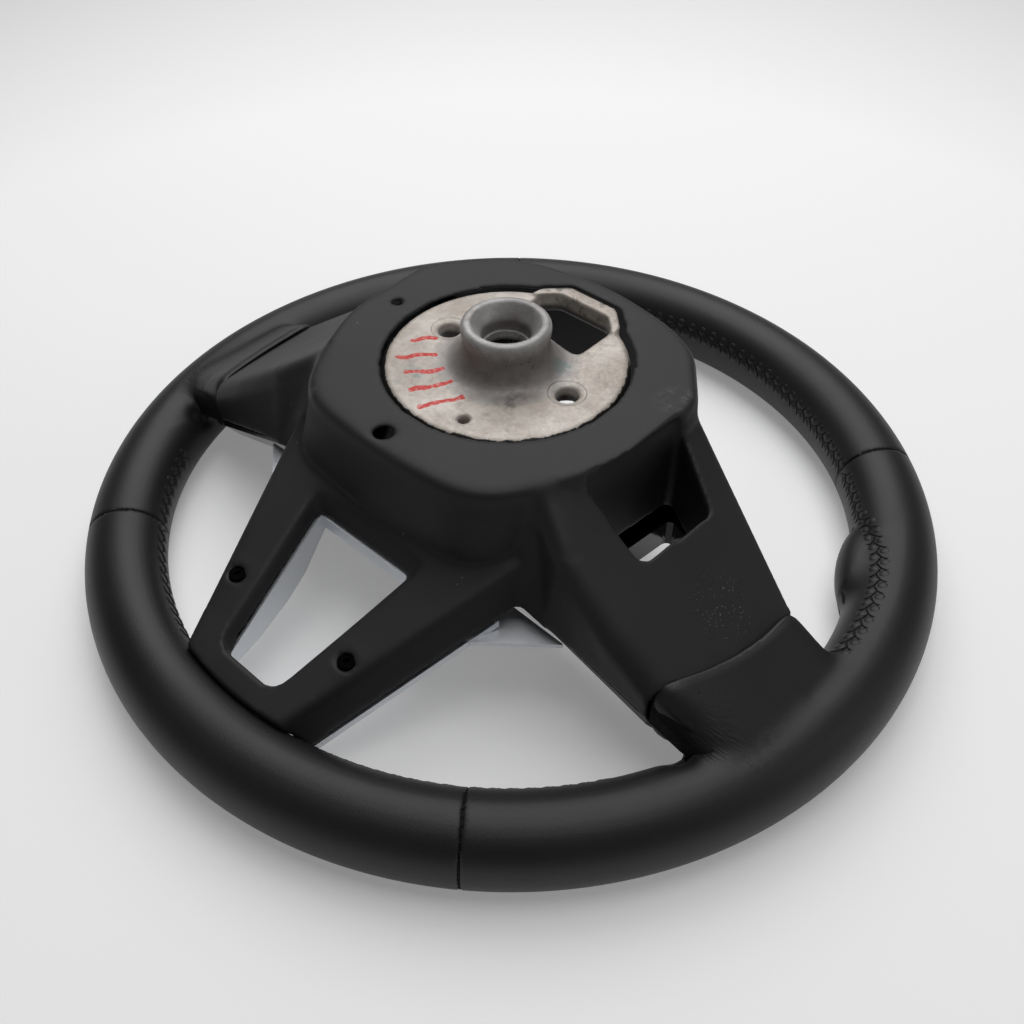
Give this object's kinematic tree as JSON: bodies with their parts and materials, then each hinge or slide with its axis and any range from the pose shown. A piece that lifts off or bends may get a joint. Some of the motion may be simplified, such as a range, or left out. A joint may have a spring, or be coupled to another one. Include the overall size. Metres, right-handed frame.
{
  "type": "car steering wheel",
  "caption": "Bare three-spoke car steering wheel with a leather grip, split lower spoke and empty airbag pocket, shown from the column side.",
  "frame": {"origin": "middle of the wheel on the floor plane, under the steering axis", "axes": "+Z along the steering axis towards the column, +Y towards 12 o'clock, +X towards the spoke at 9 o'clock as the driver sees it"},
  "size_m": [0.37, 0.37, 0.1148],
  "materials": {
    "cast_metal": "rough cast, stained",
    "bush_steel": "broached",
    "foam": "moulded foam",
    "leather": "smooth black",
    "thread": "black thread",
    "cover_plastic": "fine grain",
    "silver_trim": "satin silver",
    "gloss_black": "polished",
    "screw_steel": "black",
    "wire_steel": "spring wire"
  },
  "bodies": {
    "root": {"armature": "cast_metal", "spline_bush": "bush_steel", "rim_foam": "foam", "leather_top": "leather", "leather_right": "leather", "leather_bottom": "leather", "leather_left": "leather", "lace_top": "thread", "lace_right": "thread", "lace_bottom": "thread", "lace_left": "thread", "seam_upper_right": "thread", "seam_lower_right": "thread", "seam_lower_left": "thread", "seam_upper_left": "thread", "rear_cover": "cover_plastic", "lower_trim": "silver_trim", "bezel_right": "gloss_black", "bezel_left": "gloss_black", "leg_screws": "screw_steel", "bezel_screws": "screw_steel", "clip_wire_right": "wire_steel", "clip_wire_left": "wire_steel"}
  },
  "joints": []
}
